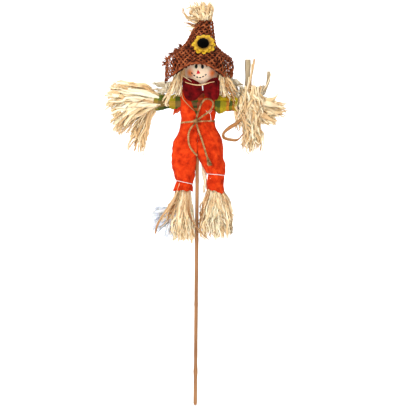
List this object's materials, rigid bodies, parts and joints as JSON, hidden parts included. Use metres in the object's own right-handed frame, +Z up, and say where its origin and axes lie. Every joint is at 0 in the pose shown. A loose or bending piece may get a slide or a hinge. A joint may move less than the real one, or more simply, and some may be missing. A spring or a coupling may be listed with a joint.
{
  "type": "scarecrow figure on a stake",
  "caption": "Soft scarecrow doll on a cane stake, with a woven hat, a felt jumpsuit, plaid sleeves, and raffia hair, hands and feet, for a pot or a garden bed.",
  "frame": {"origin": "middle of the stake's lower end", "axes": "+Z up along the stake to the hat; the figure faces -Y; +X is to the right of someone who faces the figure, and node names say left for the -X side"},
  "size_m": [0.2765, 0.094, 0.61],
  "materials": {
    "cane": "natural dry cane, satin skin with knots",
    "raffia": "dry raffia ribbon, soft sheen along the fibre",
    "orange_felt": "thin orange felt, matt and slightly fuzzy",
    "plaid_cloth": "woven cotton plaid in green, yellow, orange, red and brown",
    "burlap": "open weave of dyed brown jute yarn, frayed edge",
    "red_felt": "dark red brushed felt",
    "skin_cloth": "smooth skin-coloured stretch cloth with a painted face",
    "foam": "white foam ball",
    "fibrefill": "white polyester stuffing",
    "petal_cloth": "stiff yellow cloth petals",
    "seed_pile": "black short pile",
    "twine": "two-ply jute twine, hairy",
    "thread": "white sewing thread and elastic",
    "wire": "thin bendable steel wire"
  },
  "bodies": {
    "root": {"stake": "cane", "head_ball": "foam", "head_cover": "skin_cloth", "neck_tie": "thread", "hat": "burlap", "hat_tuft": "raffia", "flower_petals": "petal_cloth", "flower_center": "seed_pile", "hair_left": "raffia", "hair_right": "raffia", "hair_back": "raffia", "bow_cloth": "red_felt", "bow_thread": "thread", "bow_strand": "raffia", "chest_strand": "raffia", "shirt_body": "plaid_cloth", "overalls_top": "orange_felt", "body_stuffing": "fibrefill", "seat_left": "orange_felt", "seat_right": "orange_felt", "shoulder_wire": "wire", "belt_twine": "twine", "belt_knot": "twine", "bow_loop": "twine", "belt_tail_left": "twine", "belt_tail_right": "twine", "tail_fray": "twine", "belt_thread": "thread"},
    "left_arm": {"left_sleeve": "plaid_cloth", "left_arm_roll": "raffia", "left_arm_wire": "wire", "left_wrist_wire": "wire", "left_hand_raffia": "raffia"},
    "left_leg": {"left_trouser_leg": "orange_felt", "left_leg_stuffing": "fibrefill", "left_foot_raffia": "raffia", "left_ankle_tie": "thread"},
    "right_arm": {"right_sleeve": "plaid_cloth", "right_arm_roll": "raffia", "right_arm_wire": "wire", "right_wrist_wire": "wire", "right_hand_raffia": "raffia"},
    "right_leg": {"right_trouser_leg": "orange_felt", "right_leg_stuffing": "fibrefill", "right_foot_raffia": "raffia", "right_ankle_tie": "thread"}
  },
  "joints": [
    {"name": "left_shoulder", "type": "hinge", "parent": "root", "child": "left_arm", "pos_m": [-0.029, 0, 0.457], "axis": [0, 1, 0], "range_deg": [-10, 20]},
    {"name": "right_shoulder", "type": "hinge", "parent": "root", "child": "right_arm", "pos_m": [0.029, 0, 0.457], "axis": [0, -1, 0], "range_deg": [-10, 20]},
    {"name": "left_hip", "type": "hinge", "parent": "root", "child": "left_leg", "pos_m": [-0.0205, 0, 0.386], "axis": [0, 1, 0], "range_deg": [0, 18]},
    {"name": "right_hip", "type": "hinge", "parent": "root", "child": "right_leg", "pos_m": [0.0205, 0, 0.386], "axis": [0, -1, 0], "range_deg": [0, 18]}
  ]
}
